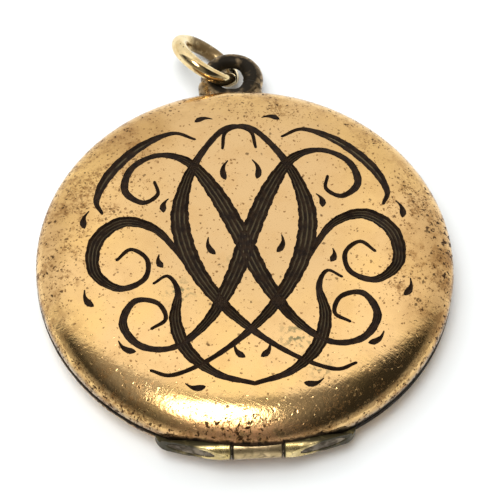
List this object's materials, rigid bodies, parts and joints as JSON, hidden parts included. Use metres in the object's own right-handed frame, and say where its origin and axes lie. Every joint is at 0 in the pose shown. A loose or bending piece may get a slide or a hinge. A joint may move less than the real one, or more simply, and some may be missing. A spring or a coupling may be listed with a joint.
{
  "type": "folding picture locket",
  "caption": "Round domed locket that folds open on a barrel hinge to two framed picture cards, with a soldered bail loop and a loose jump ring.",
  "frame": {"origin": "centre of the flat on the outside of the back cover, which the locket rests on", "axes": "+Z out through the middle of the engraved front cover, +Y from the hinge towards the bail loop, +X along the hinge pin to the right as seen from the front with the bail up"},
  "size_m": [0.032, 0.0393, 0.0055],
  "materials": {
    "rolled_gold": "worn satin rose gold over brass",
    "bright_gold": "polished",
    "hinge_brass": "worn, greenish",
    "dark_brass": "tarnished brown",
    "lining_brass": "dull",
    "pin_steel": "dark drawn wire",
    "picture_card": "aged matt card",
    "clear_sheet": "clear, slightly yellowed sheet"
  },
  "bodies": {
    "back_half": {"back_cover": "rolled_gold", "back_rim": "lining_brass", "back_lining": "lining_brass", "back_picture_card": "picture_card", "back_window": "clear_sheet", "back_bezel": "bright_gold", "snap_lip": "lining_brass", "catch_nib": "lining_brass", "hinge_knuckle_left": "hinge_brass", "hinge_knuckle_right": "hinge_brass", "hinge_pin": "pin_steel", "bail_loop": "dark_brass", "bail_solder": "dark_brass"},
    "front_half": {"front_cover": "rolled_gold", "front_rim": "lining_brass", "front_lining": "lining_brass", "front_picture_card": "picture_card", "front_window": "clear_sheet", "front_bezel": "bright_gold", "hinge_knuckle_centre": "hinge_brass"},
    "ring": {"jump_ring": "bright_gold"}
  },
  "joints": [
    {"name": "lid_hinge", "type": "hinge", "parent": "back_half", "child": "front_half", "pos_m": [0, -0.01565, 0.00275], "axis": [1, 0, 0], "range_deg": [0, 140]},
    {"name": "ring_swing", "type": "hinge", "parent": "back_half", "child": "ring", "pos_m": [0, 0.02021, 0.00205], "axis": [-1, 0, 0], "range_deg": [0, 108]}
  ]
}
